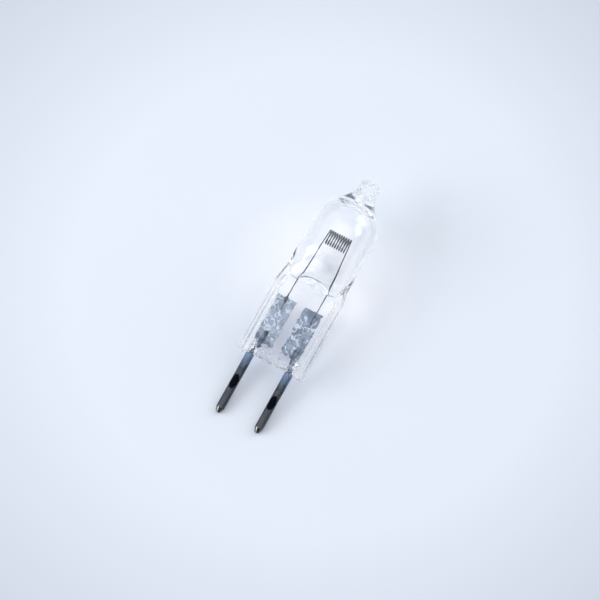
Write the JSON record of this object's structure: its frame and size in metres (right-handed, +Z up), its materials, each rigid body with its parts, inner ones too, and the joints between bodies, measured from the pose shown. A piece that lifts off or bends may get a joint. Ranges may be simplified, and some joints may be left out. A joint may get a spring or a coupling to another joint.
{
  "type": "projector halogen bulb",
  "caption": "Clear quartz halogen capsule with an exhaust tip, a flat coiled filament, a ribbed pinch seal with foils, and contact pins that plug into a lamp holder.",
  "frame": {"origin": "on the table under the middle of the bulb as it lies, at the centre of the bottom of its bounding box", "axes": "+Z up, +Y along the lying bulb from the pins to the exhaust tip, +X across the two pins"},
  "size_m": [0.0106, 0.04, 0.0103],
  "materials": {
    "fused_quartz": "clear, fire polished",
    "tungsten": "drawn wire, dull",
    "molybdenum_foil": "rolled foil with a press ripple",
    "molybdenum_wire": "drawn wire, heat stained",
    "pin_metal": "drawn rod, heat stained in the middle"
  },
  "bodies": {
    "root": {"quartz_envelope": "fused_quartz", "filament": "tungsten", "foil_left": "molybdenum_foil", "foil_right": "molybdenum_foil", "lead_left": "molybdenum_wire", "lead_right": "molybdenum_wire", "contact_pin_left": "pin_metal", "contact_pin_right": "pin_metal"}
  },
  "joints": []
}
